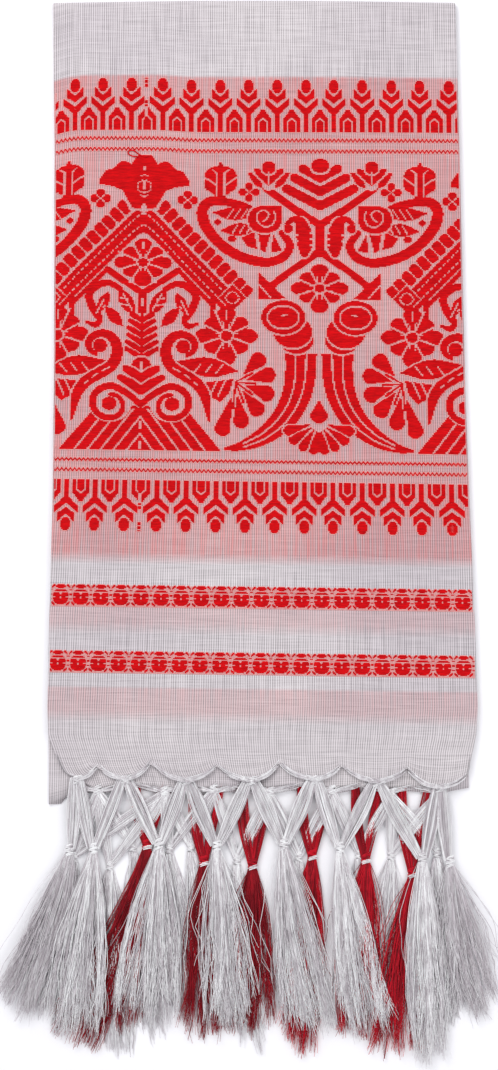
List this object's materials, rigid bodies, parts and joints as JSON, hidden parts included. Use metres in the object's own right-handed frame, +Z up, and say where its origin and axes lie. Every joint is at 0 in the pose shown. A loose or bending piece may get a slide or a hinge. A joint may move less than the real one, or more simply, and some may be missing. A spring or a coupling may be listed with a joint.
{
  "type": "folded gamcha",
  "caption": "Thin cotton gamcha folded flat, with red woven border figures and a knotted tassel fringe, used as a towel, scarf or gift cloth.",
  "frame": {"origin": "on the flat underside of the folded cloth, half way between its fold and its front hem", "axes": "+Z up from the surface the cloth lies on, +Y from the fringe towards the doubled edge, +X to the right as seen from above"},
  "size_m": [0.424, 0.9012, 0.007],
  "materials": {
    "cotton_white": "matte woven cotton",
    "cotton_red": "matte cotton yarn"
  },
  "bodies": {
    "root": {"cloth": "cotton_white", "fringe_front": "cotton_white", "fringe_back": "cotton_white", "fringe_red_left": "cotton_red", "fringe_red_right": "cotton_red"}
  },
  "joints": []
}
